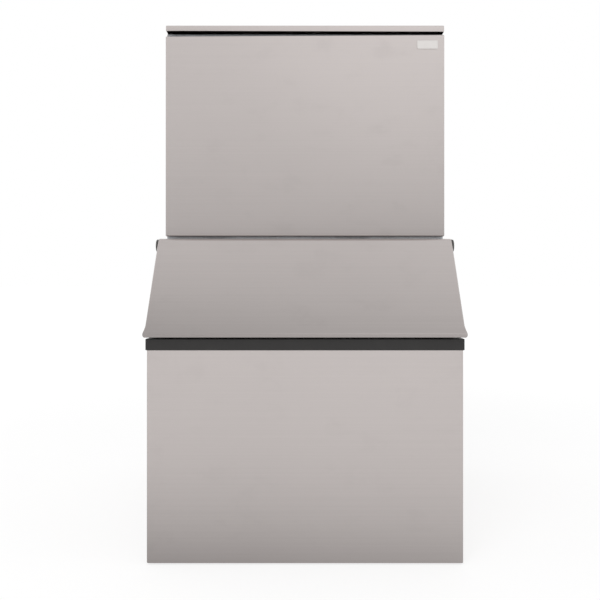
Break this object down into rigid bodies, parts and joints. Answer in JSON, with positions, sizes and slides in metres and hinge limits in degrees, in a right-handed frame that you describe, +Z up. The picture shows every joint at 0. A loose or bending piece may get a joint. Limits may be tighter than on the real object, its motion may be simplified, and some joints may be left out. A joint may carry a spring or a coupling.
{
  "type": "ice machine",
  "caption": "Modular cube ice machine: steel ice-making head with a lift-off front panel on an insulated storage bin with a sloping lift-up door.",
  "frame": {"origin": "on the floor, at the middle of the width and of the overall depth", "axes": "+Z up, the front with the door and panels faces -Y, +X to the right when seen from the front"},
  "size_m": [0.78, 0.864, 1.378],
  "materials": {
    "stainless_steel": "fine vertical brushed grain",
    "galvanised_steel": "zinc-coated sheet, dull spangle",
    "badge_aluminium": "fine matt",
    "white_plastic": "satin moulded",
    "clear_plastic": "milky moulded sheet",
    "black_plastic": "fine moulded texture",
    "grey_plastic": "fine moulded texture",
    "foam": "rigid insulation foam",
    "rubber": "soft matt",
    "zinc_steel": "zinc plated",
    "nickel_plate": "nickel plated copper",
    "copper": "drawn copper tube",
    "brass": "machined and cast",
    "black_paint": "semi-gloss black",
    "coil_aluminium": "thin fins"
  },
  "bodies": {
    "cabinet": {"bin_base": "galvanised_steel", "bin_leg_sockets": "grey_plastic", "bin_front_panel": "stainless_steel", "bin_side_panel_right": "stainless_steel", "bin_side_panel_left": "stainless_steel", "bin_back_panel": "galvanised_steel", "bin_top_frame": "stainless_steel", "bin_liner": "white_plastic", "bin_foam": "foam", "bin_sill_trim": "black_plastic", "bin_drain": "white_plastic", "door_hinge_brackets": "grey_plastic", "door_hinge_pins": "zinc_steel", "head_gasket": "rubber", "head_base": "galvanised_steel", "head_side_panel_left": "stainless_steel", "head_side_panel_right": "stainless_steel", "head_back_panel": "galvanised_steel", "head_top_cover": "stainless_steel", "head_front_rail": "galvanised_steel", "head_bulkhead": "galvanised_steel", "head_panel_grommets": "black_plastic", "evaporator_housing": "white_plastic", "evaporator_grid": "nickel_plate", "evaporator_tubing": "copper", "water_distributor": "white_plastic", "water_curtain_brackets": "white_plastic", "ice_thickness_probe": "black_plastic", "water_trough": "white_plastic", "water_pump": "black_plastic", "water_hose": "rubber", "water_inlet_valve": "brass", "water_drain": "white_plastic", "power_bushing": "black_plastic", "compressor": "black_paint", "compressor_mounts": "rubber", "compressor_terminal_cover": "black_plastic", "condenser_coil": "coil_aluminium", "fan_shroud": "galvanised_steel", "fan_motor": "black_paint", "receiver_tank": "black_paint", "filter_drier": "copper", "control_box": "galvanised_steel", "control_box_lid": "galvanised_steel", "selector_switch": "zinc_steel", "refrigerant_lines": "copper"},
    "bin_door": {"bin_door_skin": "stainless_steel", "bin_door_inner_panel": "white_plastic", "bin_door_foam": "foam", "bin_door_gasket": "rubber", "bin_door_hinge_bushes": "white_plastic", "bin_door_corner_guards": "stainless_steel"},
    "front_panel": {"head_front_panel": "stainless_steel", "head_front_panel_studs": "zinc_steel", "head_front_panel_pad": "foam", "head_badge_plate": "badge_aluminium"},
    "curtain": {"water_curtain": "clear_plastic"},
    "fan_wheel": {"condenser_fan": "black_plastic"},
    "impeller": {"water_pump_impeller": "white_plastic"},
    "lever": {"selector_lever": "zinc_steel"}
  },
  "joints": [
    {"name": "bin_door_hinge", "type": "hinge", "parent": "cabinet", "child": "bin_door", "pos_m": [0, -0.25303, 0.772], "axis": [-1, 0, 0], "range_deg": [0, 148]},
    {"name": "front_panel_pull", "type": "slide", "parent": "cabinet", "child": "front_panel", "axis": [0, -1, 0], "range_m": [0, 0.35]},
    {"name": "water_curtain_hinge", "type": "hinge", "parent": "cabinet", "child": "curtain", "pos_m": [-0.16915, 0.01, 1.2975], "axis": [-1, 0, 0], "range_deg": [0, 16]},
    {"name": "selector_lever_pivot", "type": "hinge", "parent": "cabinet", "child": "lever", "pos_m": [0.29875, -0.139, 1.248], "axis": [1, 0, 0], "range_deg": [-14, 14]},
    {"name": "condenser_fan_spin", "type": "hinge", "parent": "cabinet", "child": "fan_wheel", "pos_m": [0.214, 0.4135, 0.9685], "axis": [0, 1, 0], "continuous": true},
    {"name": "pump_impeller_spin", "type": "hinge", "parent": "cabinet", "child": "impeller", "pos_m": [-0.331, 0.045, 0.8425], "axis": [0, 0, 1], "continuous": true}
  ]
}
